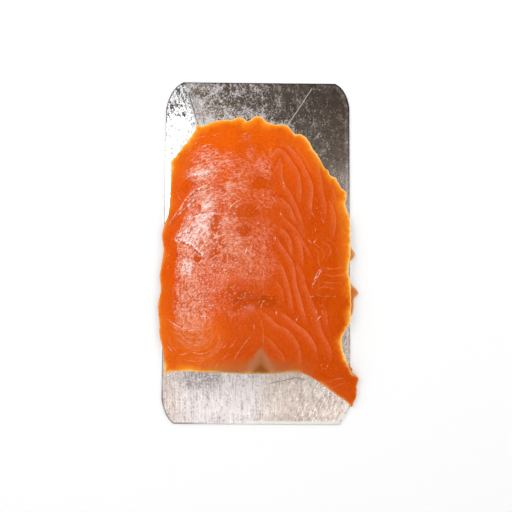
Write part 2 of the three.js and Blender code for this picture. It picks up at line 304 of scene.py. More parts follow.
outline = at[at[:, 2] < 0.00002][:, :2]
outline = outline[np.argsort(np.arctan2(outline[:, 1], outline[:, 0]))]
run = np.roll(outline, -1, axis=0) - outline
reach = at[:, None, :2] - outline[None]
share = np.clip((reach * run).sum(2) / (run ** 2).sum(1), 0, 1)
mark(foil_card, "from_edge", np.linalg.norm(reach - share[..., None] * run, axis=2).min(axis=1))
mark(foil_card, "from_fish", nearest_in(vertices_of(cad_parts["top_slice"]), at)[1].clip(0, 0.02))


def stored(home, name):
    """The number that a piece stores under a name."""
    return Field(node_in(home, "Attribute", attribute_name=name).outputs["Fac"])


def ease(value, start, end):
    """Rises smoothly from 0 to 1 between start and end."""
    made = node_in(value, "MapRange", {"Value": value, "From Min": start, "From Max": end},
                   interpolation_type="SMOOTHSTEP")
    return Field(made.outputs["Result"])


def place(finish, centre=(0, 0, 0), turn=0.0, scale=(1, 1, 1)):
    """Object coordinates moved to a centre, turned about it and scaled."""
    here = node_in(finish, "TexCoord").outputs["Object"]
    for move in ({"Location": tuple(-c for c in centre)}, {"Rotation": (0, 0, -turn)}, {"Scale": scale}):
        here = node_in(finish, "Mapping", {"Vector": here, **move}).outputs[0]
    return Field(here)


def grain(where, scale, detail=3.0, roughness=0.55):
    made = node_in(where, "TexNoise",
                   {"Vector": where, "Scale": scale, "Detail": detail, "Roughness": roughness})
    return Field(made.outputs["Fac"])


def red_and_green(where, colour):
    """Two random numbers out of a random colour."""
    return [Field(socket) for socket in node_in(where, "SeparateColor", {0: colour}).outputs][:2]


def cells(where, scale):
    """Small cells, each with its own random level."""
    made = node_in(where, "TexVoronoi", {"Vector": where, "Scale": scale})
    return red_and_green(where, made.outputs["Color"])[0]


foil, shader = new_finish("card_foil")
x, y, _ = coordinates(place(foil))

mottle = grain(place(foil, scale=(1, 0.7, 1)), 90, 5, 0.65)
smears = grain(place(foil, scale=(1, 0.85, 1)), 150, 7, 0.72)
slant = grain(place(foil, turn=math.radians(20), scale=(1, 0.3, 1)), 520, 4, 0.65)
specks = cells(place(foil), 1150)
fibres = cells(place(foil, turn=0.02, scale=(1, 0.11, 1)), 1250)
slant_fibres = cells(place(foil, turn=math.radians(-22), scale=(1, 0.22, 1)), 1100)
streaks = grain(place(foil, turn=0.02, scale=(1, 0.07, 1)), 520, 4, 0.7)

head = ease(y + 0.02 * mottle, 0.05, 0.08)
back = ease(x + 0.28 * y + 0.012 * mottle, -0.008, -0.016)
from_fish = stored(foil, "from_fish")
wet_edge = ease(from_fish, 0.0045, 0.0012) * ease(x, 0.045, 0.02)

# The dark head end: a brown mirror, its colour painted dark as a reflection of the dark room, clouded with
# pale smears, and painted paler towards the back side as the lamp's reflection.
belly = ease(x, -0.045, 0.04)
level = 0.3 - 0.17 * belly + 0.25 * wet_edge
clouded = level + (smears - 0.5) * (3.4 - 2.6 * belly)
clouded += (specks - 0.5) * (0.95 - 0.55 * belly) + 0.16 * (fibres - 0.5)
head_painted_reflection = ramp_of(clouded, (0.0, (0.27, 0.205, 0.155)), (1.0, (1.0, 0.98, 1.0)),
                      (0.22, (0.43, 0.355, 0.30)), (0.5, (0.60, 0.55, 0.55)), (0.75, (0.86, 0.83, 0.86)))
# Painted dark reflection near the belly corner of the head end.
rim_dark_reflection = ease(x, 0.048, 0.066) * ease(y, 0.055, 0.085)
head_painted_reflection = blend(0.5 * rim_dark_reflection, head_painted_reflection, (0.27, 0.17, 0.12))
# The back corner is painted white as the lamp's reflection, broken by dark flecks.
flecks = 5.5 * (slant - 0.52) + 2.5 * (smears - 0.5) + 1.2 * (specks - 0.5)
flecks = ease(flecks - 1.1 + 1.35 * ease(y, 0.078, 0.112), -0.1, 0.6)
corner_painted_highlight = blend(flecks, (1.0, 0.99, 1.0), (0.13, 0.115, 0.12))
head_painted_reflection = blend(back, head_painted_reflection, corner_painted_highlight)

# The pale tail end: pinkish silver, painted pale as a reflection of the bright room, with the upright fibres
# of the board showing through.
warm = (ease(x + 0.02 * mottle, 0.004, 0.022) + ease(x, -0.05, -0.062)).clipped()
tail_painted_reflection = blend(warm, (0.86, 0.785, 0.775),
                    blend(ease(x, -0.01, 0.03), (0.82, 0.705, 0.645), (0.77, 0.64, 0.555)))
tone = 0.32 * (fibres - 0.5) + 0.45 * (streaks - 0.5)
tone = blend(ease(x, 0.01, 0.035), tone, 0.42 * (slant_fibres - 0.5) + 0.95 * (slant - 0.5))
tone += 0.3 * (mottle - 0.5) + 0.36 * (specks - 0.5)
tail_painted_reflection = blend(ease(tone, 0.0, -0.42), tail_painted_reflection, (0.4, 0.31, 0.3))
tail_painted_reflection = blend(ease(tone, 0.05, 0.4), tail_painted_reflection, (1.0, 0.975, 0.96))
worn = ease(y, -0.111, -0.098) * ease(x, -0.016, -0.036) * ease(x, -0.06, -0.048)
worn = 0.75 * worn + 2.6 * (smears - 0.5) + 1.1 * (specks - 0.5)
tail_painted_reflection = blend(0.8 * ease(worn, 0.35, 1.05), tail_painted_reflection, (0.3, 0.245, 0.25))
# The base colour is the painted pale reflection at the tail and the painted dark reflection at the head.
tint = blend(head, tail_painted_reflection, head_painted_reflection)

# A dark line of painted shade along the cut, a painted highlight where the foil rolls over it, and a pale
# painted highlight on the foot at the tail.
from_edge = stored(foil, "from_edge")
edge_shade_strength = (ease(y, 0.085, 0.105) + ease(y, -0.095, -0.112) * ease(x, -0.035, -0.055)).clipped()
edge_shade_line = ease(from_edge, 0.001, 0.0003) * (0.1 + 0.68 * edge_shade_strength)
tint = blend(edge_shade_line, tint, (0.14, 0.11, 0.105))
rolled_highlight = ease(from_edge, 0.0006, 0.0014) * ease(from_edge, 0.0042, 0.0024) * ease(x, 0.045, 0.06)
rolled_highlight *= 0.2 + 0.8 * ease(smears, 0.4, 0.56)
tint = blend(0.5 * rolled_highlight, tint, (0.95, 0.88, 0.84))
foot_highlight = ease(y, -0.1262, -0.1272) * ease(x + 0.06 * smears, 0.0, 0.04)
tint = blend(0.8 * foot_highlight, tint, (1.0, 0.97, 0.9))

# How much the foil scatters: the clouded head and the foot do, the bare silver mirrors.
scatter = 0.75 * ease(clouded, 0.12, 0.85) * head + 0.5 * foot_highlight

# The creases that handling left in the foil, each a line from one end to the other, painted as a pale
# highlight, or where its brightness is 0 as a dark line of painted shade.
for start, end, width, bright in (
    ((0.0413, 0.1248), (0.0228, 0.0964), 0.00045, 1.0),
    ((0.0478, 0.0908), (0.0432, 0.0854), 0.00045, 0.7),
    ((-0.0540, 0.1200), (-0.0460, 0.0945), 0.0007, 0.9),
    ((-0.0530, 0.1200), (-0.0450, 0.0945), 0.0005, 0.0),
    ((0.0095, -0.0993), (0.0293, -0.0947), 0.0004, 0.0),
    ((0.0293, -0.0947), (0.0371, -0.0962), 0.0004, 0.0),
):
    middle = ((start[0] + end[0]) / 2, (start[1] + end[1]) / 2, 0)
    length = math.hypot(end[0] - start[0], end[1] - start[1])
    turn = math.atan2(end[1] - start[1], end[0] - start[0])
    along_line, across_line, _ = coordinates(place(foil, middle, turn))
    along = ease(abs(along_line), length / 2 + 0.0008, length / 2 - 0.0008)
    across = ease(abs(across_line + 0.0012 * (mottle - 0.5)), width, width * 0.3)
    share = 0.8 * along * across
    scatter = most(scatter, share * bright)
    tint = blend(share, tint, (bright, 0.97 * bright, 0.95 * bright) if bright else (0.12, 0.1, 0.09))

feed(shader.inputs["Base Color"], tint)
shader.inputs["Metallic"].default_value = 1.0
rough = node_in(foil, "MapRange", {"Value": scatter, "To Min": 0.20, "To Max": 0.62})
feed(shader.inputs["Roughness"], rough.outputs["Result"])
relief = 0.6 * streaks + 0.5 * smears + 0.3 * slant
bump = node_in(foil, "Bump", {"Height": relief, "Strength": 0.5, "Distance": 0.00012})
feed(shader.inputs["Normal"], bump.outputs[0])

board, shader = new_finish("card_board")
pulp = grain(place(board), 700, 4)
feed(shader.inputs["Base Color"], blend(pulp, (0.8, 0.78, 0.74), (0.92, 0.91, 0.88)))
shader.inputs["Roughness"].default_value = 0.8

card.materials.clear()
card.materials.append(foil)
card.materials.append(board)
for face in card.polygons:
    face.material_index = 0 if face.normal.z > 0.3 else 1
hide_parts("card")
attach(foil_card, "root")


# The two lower slices.
# Thin wide cuts of the same smoked fillet, laid flat on the foil. The middle one comes out at
# the belly side in three places, where its thin wet rim catches the light.
def rounded(piece):
    """Pairs a slice's triangles and rounds it, as soft wet flesh is."""
    edit(piece)
    bpy.ops.mesh.tris_convert_to_quads(face_threshold=math.radians(50), shape_threshold=math.radians(60))
    leave_edit()
    soften = piece.modifiers.new("soften", "SUBSURF")
    soften.levels = soften.render_levels = 2
    bpy.ops.object.modifier_apply(modifier="soften")
    bpy.ops.object.shade_smooth()


def distance_to_rim(piece, reach=0.014):
    """How far each vertex lies inside the slice's rim, seen from above."""
    at, facing = vertices_of(piece), vertices_of(piece, "normal")
    return nearest_in(at[abs(facing[:, 2]) < 0.5], at)[1].clip(0, reach)


def falloff(value, width):
    return np.exp(-(value / width) ** 2)


def step(value, start, end):
    t = np.clip((value - start) / (end - start), 0, 1)
    return t * t * (3 - 2 * t)


def mark_rim(piece):
    """The rim thins out to pale fat, most on the belly side and least on the back."""
    at = vertices_of(piece)
    rim = distance_to_rim(piece)
    belly_side = step(at[:, 0], -0.045, 0.030)
    ends = np.maximum(step(at[:, 1], 0.050, 0.070), step(at[:, 1], -0.082, -0.090))
    pale = np.clip(0.30 + belly_side + ends, 0, 1)
    uneven = (0.5 + swell(at, 90, 90, 7.0) + 0.6 * swell(at, 320, 320, 2.0)).clip(0, 1)
    tail_cut = step(at[:, 1], -0.080, -0.088) * step(at[:, 0], -0.040, -0.025)
    belly_rim = step(at[:, 0], 0.030, 0.055) * step(at[:, 1], -0.030, -0.005)
    head_rim = step(at[:, 1], 0.074, 0.084) * step(at[:, 0], 0.030, 0.0)
    glow_width = 0.0016 + 0.0026 * uneven + 0.0008 * belly_rim + 0.0012 * head_rim
    mark(piece, "rim_glow", pale * falloff(rim, glow_width) * (1 - 0.9 * tail_cut))
    mark(piece, "rim_cream", pale * falloff(rim, 0.0005 + 0.0010 * uneven) * (1 - 0.6 * tail_cut))


# The flesh's main colours: its depth, seams, painted sheen, pores and pits painted with shade, fat, rims, and
# the painted shade of the lower slices.
HEAD_ORANGE = (0.84, 0.125, 0.0012)
CLOUD_RED = (0.58, 0.058, 0.001)
THIN_ORANGE = (0.82, 0.165, 0.01)
SEAM_FAT_AND_LIT = (0.735, 0.15, 0.05)
SEAM_SHADE = (0.57, 0.052, 0.0006)
SEAM_LINE = (0.82, 0.25, 0.11)
SHEEN_PINK = (0.8, 0.275, 0.15)
SHEEN_WHITE = (0.97, 0.76, 0.76)
PORE_SHADE = (0.56, 0.085, 0.012)
PIT_SHADE = (0.54, 0.07, 0.004)
FAT_BROWN = (0.42, 0.148, 0.05)
FAT_LINE = (0.5, 0.23, 0.12)
FAT_CORE = (0.28, 0.078, 0.013)
RIM_ORANGE = (0.95, 0.33, 0.014)
RIM_CREAM = (0.97, 0.66, 0.24)
LOWER_SHADE_BROWN = (0.56, 0.215, 0.075)


def flesh(name, deep):
    """Cold-smoked trout: a deep orange that lets light in, under a wet gloss."""
    finish, shader = new_finish(name)
    x, y, _ = coordinates(place(finish))

    def layer(name):
        return stored(finish, name)

    cloud = grain(place(finish), 35, 3)
    patch = grain(place(finish, scale=(1, 0.8, 1)), 130, 6, 0.68)
    blotch = grain(place(finish, centre=(0.1, 0.3, 0)), 330, 4, 0.7)
    freckle = grain(place(finish, centre=(0.2, 0.6, 0)), 640, 3, 0.65)
    speckle = cells(place(finish), 950)

    def drawn_out(across, stretch):
        """Places for a pattern that is drawn out along the flesh's fine lines."""
        made = node_in(finish, "CombineXYZ", {0: layer(across), 1: stretch * x, 2: stretch * y})
        return Field(made.outputs[0])

    wobble = node_in(finish, "TexNoise", {"Vector": place(finish), "Scale": 600, "Detail": 1.0})
    wobble_reach = (0.0024, 0.0024, 0.0)
    wide_cells, middle_cells, small_cells = 270, 380, 620

    def dots(shift, scale, rare, size):
        """Small uneven dots: one in each cell, only in some of the cells."""
        moved = node_in(finish, "VectorMath", {0: wobble.outputs["Color"], 1: wobble_reach,
                                               2: place(finish, centre=shift)}, operation="MULTIPLY_ADD")
        made = node_in(finish, "TexVoronoi", {"Vector": moved.outputs[0], "Scale": scale},
                       voronoi_dimensions="2D")
        far = Field(made.outputs["Distance"])
        kind = red_and_green(finish, made.outputs["Color"])[1]
        return ease(far, size, size * 0.45) * ease(kind, rare, rare + 0.1)

    tail_part = ease(y, -0.02, -0.036)
    arch_hatch = grain(drawn_out("arches", 0.17), 640, 4, 0.75)
    bowl_hatch = grain(drawn_out("bowls", 0.1), 330, 3, 0.6)
    hatch = blend(tail_part, arch_hatch, bowl_hatch)
    arch_dashes = grain(drawn_out("arches", 0.28), 1100, 3, 0.75)
    bowl_dashes = grain(drawn_out("bowls", 0.3), 1000, 3, 0.75)
    dashes = ease(blend(tail_part, arch_dashes, bowl_dashes), 0.36, 0.64)
    spotty = ease(y, 0.01, -0.008) * ease(y, -0.056, -0.04)
    fine = blend(0.3 + 0.35 * spotty, dashes, speckle)

    # The clear flesh from the back rim to the belly rim.
    across = node_in(finish, "MapRange", {"Value": x, "From Min": -0.075, "From Max": 0.075})
    colour = ramp_of(
        Field(across.outputs["Result"]), (0.0, (0.72, 0.088, 0.0015)), (1.0, (0.61, 0.077, 0.0006)),
        (0.14, (0.74, 0.096, 0.002)), (0.32, (0.74, 0.100, 0.004)), (0.46, (0.645, 0.086, 0.005)),
        (0.70, (0.645, 0.078, 0.0012)), (0.85, (0.625, 0.077, 0.0006)))
    colour = blend(0.85 * ease(y, 0.02, 0.092), colour, HEAD_ORANGE)
    colour = blend(0.3 * ease(cloud, 0.6, 0.4), colour, CLOUD_RED)
    colour = blend(0.85 * layer("see_through"), colour, THIN_ORANGE)

    # The seams: fat on one side, pale partly as painted light where the flake faces the lamp, painted shade
    # on the other side, and a thin line between them.
    edge, band = layer("flake_edge"), layer("flake_band")
    offset = layer("flake_offset") + 0.0012 * (patch - 0.5) + 0.0007 * (blotch - 0.5)
    uneven = ease(patch, 0.35, 0.6)
    pale = ease(offset, 0.0003, -0.0004) * ease(offset, -0.006, -0.0006) * band * (0.6 + 0.4 * uneven)
    dark = ease(offset, 0.0001, 0.0007) * ease(offset, 0.0034, 0.0007) * band
    thin = ease(abs(offset), 0.0006 + 0.0004 * uneven, 0.0) * edge * (1.0 - 0.4 * band)
    thin *= 0.4 + 0.6 * ease(blotch, 0.38, 0.58)
    colour = blend(0.85 * pale, colour, SEAM_FAT_AND_LIT)
    colour = blend(0.5 * dark, colour, SEAM_SHADE)
    colour = blend(0.68 * thin, colour, SEAM_LINE)

    # The folds: a lip that catches the light, where a highlight is painted, and the furrow beside it, where
    # shade is painted.
    fold = layer("crease_offset") + 0.002 * (blotch - 0.5) + 0.0008 * (speckle - 0.5)
    near = layer("crease_near")
    lip = ease(fold, 0.001, 0.0005) * ease(fold, -0.0003, 0.0001)
    lip *= near * (0.3 + 1.4 * speckle) * (0.25 + 0.75 * ease(blotch, 0.4, 0.58))
    furrow = ease(fold, 0.0, -0.0004) * ease(fold, -0.0013, -0.0007)
    furrow *= near * (1.1 - 0.6 * speckle)

    # How far the clear flesh is hidden by painted sheen, the lamps' reflection in the wet surface painted
    # into its colour: 0 none, 1 nearly white.
    island = layer("shade") + 2.4 * (blotch - 0.5)
    island = ease(island, 0.15, 0.6) * ease(layer("shade"), 0.02, 0.3)
    painted_sheen = layer("painted_sheen") * (1.0 - 0.95 * island)
    colour = blend(0.9 * island, colour, (0.94, 0.92, 0.2), "MULTIPLY")
    active = ease(painted_sheen, 0.04, 0.42)
    ragged = 0.7 * (patch - 0.5) + (hatch - 0.5) * (1.4 - 0.6 * spotty)
    ragged += (blotch - 0.5) * (0.3 + 0.2 * spotty)
    ragged += (freckle - 0.5) * (0.1 + 0.6 * spotty)
    ragged += 0.4 * (fine - 0.5)
    painted_sheen += ragged * (0.05 + 0.55 * active) + 0.5 * (lip - furrow)
    colour = blend(ease(painted_sheen, 0.1, 0.78), colour, SHEEN_PINK)
    colour = blend(ease(painted_sheen, 0.62, 1.12), colour, SHEEN_WHITE)
    # A darker rim of painted shade round each island.
    brink_shade = (2.6 * island * (1.0 - island)).clipped()
    colour = blend(0.8 * brink_shade, colour, (0.84, 0.64, 0.3), "MULTIPLY")

    # The fine grain is crispest in the painted sheen on the back side; its pale specks are painted
    # highlights.
    level = fine + 0.45 * ragged
    crisp = active * (1.0 - 0.7 * ease(y, -0.044, -0.058)) * (0.45 + 0.55 * ease(x, -0.014, -0.036))
    crisp *= 1.0 - 0.4 * ease(layer("painted_sheen"), 0.75, 1.05)
    darker = ease(level, 0.45, 0.05) * (0.08 + 0.66 * crisp)
    speck_highlights = ease(level, 0.5, 0.95) * (0.012 + 0.32 * crisp) * (1.0 - 0.4 * spotty)
    colour = blend(darker, colour, (0.74, 0.4, 0.27), "MULTIPLY")
    colour = blend(0.45 * ease(speckle, 0.5, 0.0), colour, (0.84, 0.71, 0.53), "MULTIPLY")
    colour = blend(speck_highlights, colour, (1.0, 0.82, 0.78))
    # The lips are painted with highlights and the furrows with shade.
    lip_highlight_colour = blend(active, (1.0, 0.6, 0.42), (1.0, 0.79, 0.74))
    colour = blend((lip * (0.62 + 0.18 * active)).clipped(), colour, lip_highlight_colour)
    colour = blend(furrow * (0.4 + 0.12 * active), colour, (0.75, 0.5, 0.33), "MULTIPLY")

    # Pores and deeper pits, painted dark with shade, with painted wet points of light among them, and single
    # painted wet points of light.
    porous_part = ease(y, 0.035, 0.01) * ease(y, -0.054, -0.042) * ease(x, -0.004, -0.022)
    porous = most(ease(layer("painted_sheen"), 0.12, 0.3) * porous_part, 0.25 * layer("hollow_shade"))
    pores = porous * most(dots((0, 0, 0), middle_cells, 0.7, 0.36),
                          dots((0.3, 0.1, 0), small_cells, 0.76, 0.42))
    lights = most(dots((0.0009, -0.0007, 0), middle_cells, 0.7, 0.22),
                  dots((0.3006, 0.0995, 0), small_cells, 0.84, 0.28))
    colour = blend(0.85 * pores, colour, PORE_SHADE)
    colour = blend(0.45 * lights * porous, colour, (1.0, 0.8, 0.74))
    pits = dots((0.5, 0.2, 0), wide_cells, 0.12, 0.62) * layer("crags")
    colour = blend(0.92 * pits, colour, PIT_SHADE)
    pit_highlights = dots((0.5013, 0.1989, 0), wide_cells, 0.62, 0.24) * layer("crags")
    colour = blend(0.32 * pit_highlights, colour, (1.0, 0.82, 0.76))
    glint = dots((0.2, 0.4, 0), 520, 0.82, 0.28) * layer("glints")
    colour = blend(0.5 * glint, colour, (0.98, 0.62, 0.42))
    # The hollows are painted darker with shade.
    colour = blend(layer("hollow_shade") * ease(blotch, 0.3, 0.62), colour, (0.78, 0.71, 0.28), "MULTIPLY")

    colour = blend(layer("fat"), colour, FAT_BROWN)
    colour = blend(layer("fat_line"), colour, FAT_LINE)
    colour = blend(0.9 * layer("rim_glow"), colour, RIM_ORANGE)
    colour = blend(layer("fat_core"), colour, FAT_CORE)
    colour = blend(layer("rim_cream"), colour, RIM_CREAM)
    # The lower slices are painted browner with shade, as they lie under the top slice.
    if deep:
        colour = blend(0.65, colour, LOWER_SHADE_BROWN)

    feed(shader.inputs["Base Color"], colour)
    shader.inputs["Subsurface Weight"].default_value = 0.25
    shader.inputs["Subsurface Radius"].default_value = (1.0, 0.35, 0.12)
    shader.inputs["Subsurface Scale"].default_value = 0.0012
    shader.inputs["Roughness"].default_value = 0.5
    shader.inputs["Specular IOR Level"].default_value = 0.0
    # The gloss is broken where the flesh dips.
    dull = most(most(0.8 * island, 0.9 * darker), most(pits, pores))
    gloss = (0.06 + 0.85 * layer("wet")) * (1.0 - dull)
    feed(shader.inputs["Coat Weight"], gloss)
    shader.inputs["Coat Roughness"].default_value = 0.18
    shader.inputs["Coat IOR"].default_value = 1.47

    surface = ragged * (0.04 + 0.45 * active) - 0.15 * dark + 0.4 * (lip - furrow) - 0.5 * pits
    bump = node_in(finish, "Bump", {"Height": surface, "Strength": 1.0, "Distance": 0.00030})
    feed(shader.inputs["Normal"], bump.outputs[0])
    feed(shader.inputs["Coat Normal"], bump.outputs[0])
    return finish


lower_flesh = flesh("lower_flesh", True)
for node in ("bottom_slice", "middle_slice"):
    piece = copy_of(node, "smoked_" + node)
    rounded(piece)
    if node == "middle_slice":
        # Its two tongues at the belly side come out a little more than the plain cut has them.
        at = vertices_of(piece)
        outer = step(at[:, 0], 0.058, 0.070)
        tongues = 0.0017 * falloff(at[:, 1] + 0.0065, 0.009) + 0.0021 * falloff(at[:, 1] + 0.027, 0.009)
        at[:, 0] += outer * tongues
        set_vertices(piece, at)
    mark_rim(piece)
    piece.data.materials.append(lower_flesh)
    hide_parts(node)
    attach(piece, "root")


# The top slice.
# The widest cut, draped over the others, its tail end cut straight and its belly corner hanging
# down on the card. Pale seams of connective tissue part its flakes, and its surface is wet.

# Each seam: its name, the side on which its flake is pale (1 left or -1 right of the line, 0
# neither), its strength, and the points that it runs through in millimetres.
SEAMS = [
    ("midline_head", 0, 1.6, [(9.9, 76.1), (9.6, 73.1), (10.1, 69.2)]),
    ("midline_head_2", 0, 1.5, [(9.2, 65.4), (8.9, 61.6), (10.0, 56.3)]),
    ("midline_neck", 0, 0.35, [(10.0, 56.3), (7.1, 48.7), (4.9, 40.3), (1.9, 32.7)]),
    ("midline_middle", 0, 1.5, [(-3.5, 4.9), (-4.3, 1.1), (-5.5, -4.9), (-4.6, -13.8)]),
    ("midline_low", 0, 0.45, [(-4.4, -15.3), (-2.5, -22.7), (-1.7, -30.9)]),
    ("midline_tail", 0, 0.45, [(-3.1, -43.5), (2.0, -50.8), (4.4, -58.2), (5.1, -65.5), (4.3, -72.9)]),
    ("chevron_1", 0, 0.45, [(0.1, 82.1), (5.4, 77.6), (9.2, 70.8)]),
    ("belly_1", -1, 0.9,
     [(10.7, 70.0), (13.7, 76.1), (19.0, 74.7), (25.0, 67.1), (29.5, 60.3), (31.8, 52.7), (32.6, 45.1),
      (31.8, 36.8)]),
    ("belly_1b", -1, 0.6,
     [(10.8, 56.3), (14.5, 63.2), (16.7, 68.5), (18.3, 63.2), (18.7, 55.6), (20.6, 48.0), (24.3, 42.8),
      (28.1, 35.2), (31.1, 28.5), (33.4, 21.0), (35.6, 10.5)]),
    ("belly_2", -1, 0.9,
     [(21.2, 80.8), (26.5, 75.5), (31.8, 68.3), (36.3, 59.6), (40.1, 52.0), (41.6, 45.2), (40.8, 36.1),
      (40.1, 27.0)]),
    ("belly_3", -1, 0.3, [(30.2, 76.3), (35.5, 69.5), (40.8, 59.6)]),
    ("belly_4", -1, 0.6, [(46.1, 65.0), (47.6, 54.4), (49.1, 43.0), (51.3, 33.2), (50.6, 24.9)]),
    ("belly_4b", -1, 0.3, [(55.1, 52.2), (58.1, 43.8), (59.6, 37.0)]),
    ("belly_5", -1, 0.6, [(55.1, 35.5), (57.3, 29.5), (58.4, 21.2), (57.3, 10.6)]),
    ("belly_flake_1", -1, 0.7, [(15.4, 39.7), (19.9, 36.7), (24.4, 32.2), (26.6, 26.9), (28.9, 20.9)]),
    ("belly_flake_2", -1, 0.5,
     [(17.7, 25.3), (22.9, 20.9), (28.2, 15.6), (32.7, 8.9), (37.1, 1.5), (40.9, -6.0)]),
    ("belly_flake_3", -1, 0.7, [(17.0, 16.3), (22.2, 11.8), (25.2, 5.1), (26.4, -3.1)]),
    ("belly_flake_4", -1, 0.9, [(28.9, 11.1), (32.3, 5.2), (33.8, -1.6), (34.2, -9.8)]),
    ("belly_6", -1, 1.0,
     [(14.8, 8.0), (20.8, -0.9), (26.0, -9.1), (28.3, -18.0), (29.4, -26.9), (32.0, -35.1), (34.3, -43.2),
      (36.5, -52.1)]),
    ("belly_7", -1, 0.8, [(16.3, -8.4), (20.1, -15.9), (23.1, -25.5), (25.3, -35.1), (26.9, -45.5)]),
    ("belly_7b", -1, 0.4, [(14.2, -23.3), (18.6, -30.0), (20.2, -39.6)]),
    ("belly_8", -1, 0.7,
     [(30.5, -11.3), (34.2, -18.7), (36.4, -26.9), (39.4, -35.0), (42.4, -42.4), (45.4, -50.5), (47.6, -59.4),
      (51.3, -66.7), (55.0, -74.7), (55.0, -79.9)]),
    ("belly_9", -1, 0.9,
     [(18.0, -46.3), (24.7, -51.4), (29.8, -55.8), (35.8, -60.2), (40.2, -65.3), (43.2, -71.2),
      (44.6, -76.3)]),
    ("belly_10", -1, 0.7,
     [(3.9, -45.7), (9.9, -50.8), (15.1, -55.9), (22.5, -59.5), (28.4, -66.1), (31.4, -72.0), (32.8, -78.6),
      (33.6, -85.9)]),
    ("belly_11", -1, 0.5, [(6.2, -64.1), (10.7, -67.7), (15.9, -73.5), (19.6, -78.6), (21.8, -83.0)]),
    ("belly_12", -1, 0.4, [(49.1, -39.4), (51.3, -46.0), (52.8, -56.4)]),
    ("swirl_1", 0, 0.7, [(48.3, 6.1), (53.6, 2.7), (54.7, -1.4), (52.8, -5.1)]),
    ("swirl_2", 0, 0.7, [(42.4, 4.5), (47.6, 0.8), (49.8, -2.9), (48.3, -7.4)]),
    ("swirl_3", 0, 0.6, [(42.4, 0.8), (45.3, -3.0), (45.4, -8.2), (46.8, -11.9)]),
    ("swirl_4", 0, 0.4, [(52.1, 8.0), (57.3, 4.6), (59.5, -0.6)]),
    ("cross_1", 0, 0.8, [(50.6, -13.4), (57.3, -14.1), (63.2, -12.5)]),
    ("cross_2", 0, 0.8, [(51.3, -18.6), (56.5, -19.5), (66.2, -17.7)]),
    ("cross_3", 0, 0.6, [(49.8, -24.2), (57.3, -24.5), (62.5, -24.1)]),
    ("eye_top", 0, 0.6, [(44.6, -29.8), (48.3, -27.7), (51.3, -27.5), (57.2, -29.0)]),
    ("eye_low", 0, 0.8, [(43.1, -32.8), (48.3, -34.6), (55.0, -34.2)]),
    ("ring_1", 0, 1.0,
     [(-63.2, -56.5), (-59.4, -58.6), (-52.8, -60.3), (-46.9, -60.8), (-40.3, -60.3), (-36.6, -57.7)]),
    ("ring_2", 0, 1.0,
     [(-62.4, -60.9), (-56.4, -64.5), (-49.7, -69.2), (-45.3, -71.0), (-41.6, -69.2), (-39.5, -63.6),
      (-38.8, -58.5)]),
    ("ring_3", 0, 1.0,
     [(-60.8, -66.0), (-53.4, -71.4), (-46.7, -74.7), (-41.6, -74.7), (-37.2, -72.8), (-34.2, -70.2),
      (-32.8, -65.1), (-33.6, -58.5)]),
    ("ring_4", 0, 0.9,
     [(-54.0, -81.7), (-45.9, -83.1), (-37.8, -81.9), (-31.2, -77.5), (-26.1, -71.6), (-24.0, -65.0)]),
    ("ring_5", 0, 0.8, [(-59.2, -76.2), (-63.7, -70.4), (-64.5, -65.3)]),
    ("ring_6", 0, 0.9,
     [(-45.2, -80.2), (-38.5, -80.1), (-33.4, -77.2), (-29.1, -71.6), (-27.7, -65.8), (-29.2, -59.2)]),
    ("ring_7", 0, 0.7, [(-62.0, -37.3), (-60.4, -45.4), (-58.8, -52.7), (-55.0, -57.1)]),
    ("ring_8", 0, 0.5, [(-56.1, -38.0), (-56.3, -44.6), (-54.4, -51.2), (-49.9, -55.3), (-44.8, -54.1)]),
    ("flap_1", 0, 0.6, [(50.1, -98.0), (54.7, -97.3), (59.2, -95.4), (64.4, -94.6)]),
    ("flap_2", 0, 0.5, [(54.7, -102.8), (59.2, -100.5), (65.1, -98.3)]),
]


def smooth_line(points, step_length=0.6):
    """Points along a smooth curve through the given ones, with the direction at each."""
    points = np.array(points, float)
    padded = np.vstack([2 * points[0] - points[1], points, 2 * points[-1] - points[-2]])
    curve = []
    for a, b, c, d in zip(padded, padded[1:], padded[2:], padded[3:]):
        for t in np.linspace(0, 1, max(2, int(np.linalg.norm(c - b) / step_length)), endpoint=False):
            curve.append(0.5 * (2 * b + (c - a) * t + (2 * a - 5 * b + 4 * c - d) * t ** 2
                                + (3 * b - a - 3 * c + d) * t ** 3))
    curve = np.array(curve + [points[-1]])
    return curve, np.gradient(curve, axis=0)


